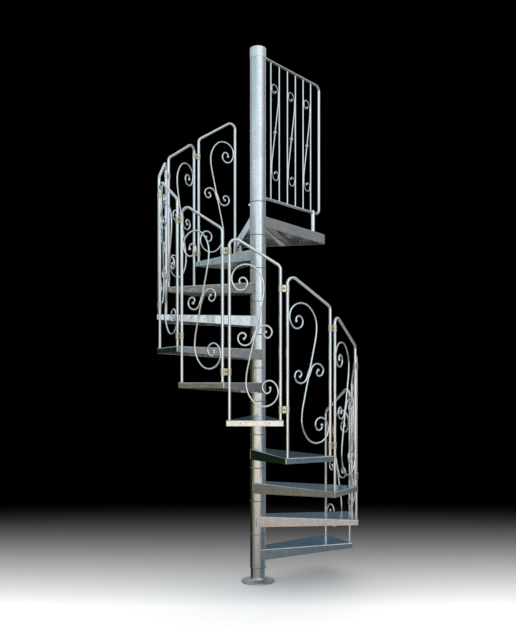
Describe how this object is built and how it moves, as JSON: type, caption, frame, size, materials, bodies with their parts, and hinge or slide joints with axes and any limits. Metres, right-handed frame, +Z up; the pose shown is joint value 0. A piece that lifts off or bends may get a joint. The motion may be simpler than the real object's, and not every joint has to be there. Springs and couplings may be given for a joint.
{
  "type": "spiral staircase",
  "caption": "Galvanised steel spiral staircase with wedge treads on a stacked column, flat scrollwork railing panels and a guarded landing.",
  "frame": {"origin": "on the column's axis at the underside of the base flange", "axes": "+Z up along the column; +Y out over the landing's straight outer edge"},
  "size_m": [1.399, 1.4245, 3.7],
  "materials": {
    "column_tube": "hot-dip galvanised tube, satin with soft mottling",
    "ring_steel": "galvanised ring, duller than the sleeves",
    "tread_sheet": "hot-dip galvanised sheet, glossy top with zinc spangle",
    "railing_bar": "hot-dip galvanised bar and tube, bright satin",
    "clip_plate": "galvanised pressed plate with a warm tint",
    "cap": "pale satin zinc cap",
    "base_plate": "galvanised flange, satin"
  },
  "bodies": {
    "root": {"base_flange": "base_plate", "centre_pole": "column_tube", "spacer_rings": "ring_steel", "hub_sleeves": "column_tube", "newel_post": "column_tube", "newel_cap": "cap", "tread_01": "tread_sheet", "tread_02": "tread_sheet", "tread_03": "tread_sheet", "tread_04": "tread_sheet", "tread_05": "tread_sheet", "tread_06": "tread_sheet", "tread_07": "tread_sheet", "tread_08": "tread_sheet", "tread_09": "tread_sheet", "tread_10": "tread_sheet", "landing": "tread_sheet", "landing_brace": "railing_bar", "landing_tie_leg": "railing_bar", "rail_panel_01": "railing_bar", "rail_panel_02": "railing_bar", "rail_panel_03": "railing_bar", "rail_panel_04": "railing_bar", "rail_panel_05": "railing_bar", "rail_panel_06": "railing_bar", "rail_panel_07": "railing_bar", "rail_panel_08": "railing_bar", "rail_panel_09": "railing_bar", "rail_panel_10": "railing_bar", "upper_clips": "clip_plate", "lower_clips": "clip_plate", "guard_panel": "railing_bar", "guard_scrolls": "railing_bar", "guard_leg": "railing_bar"}
  },
  "joints": []
}
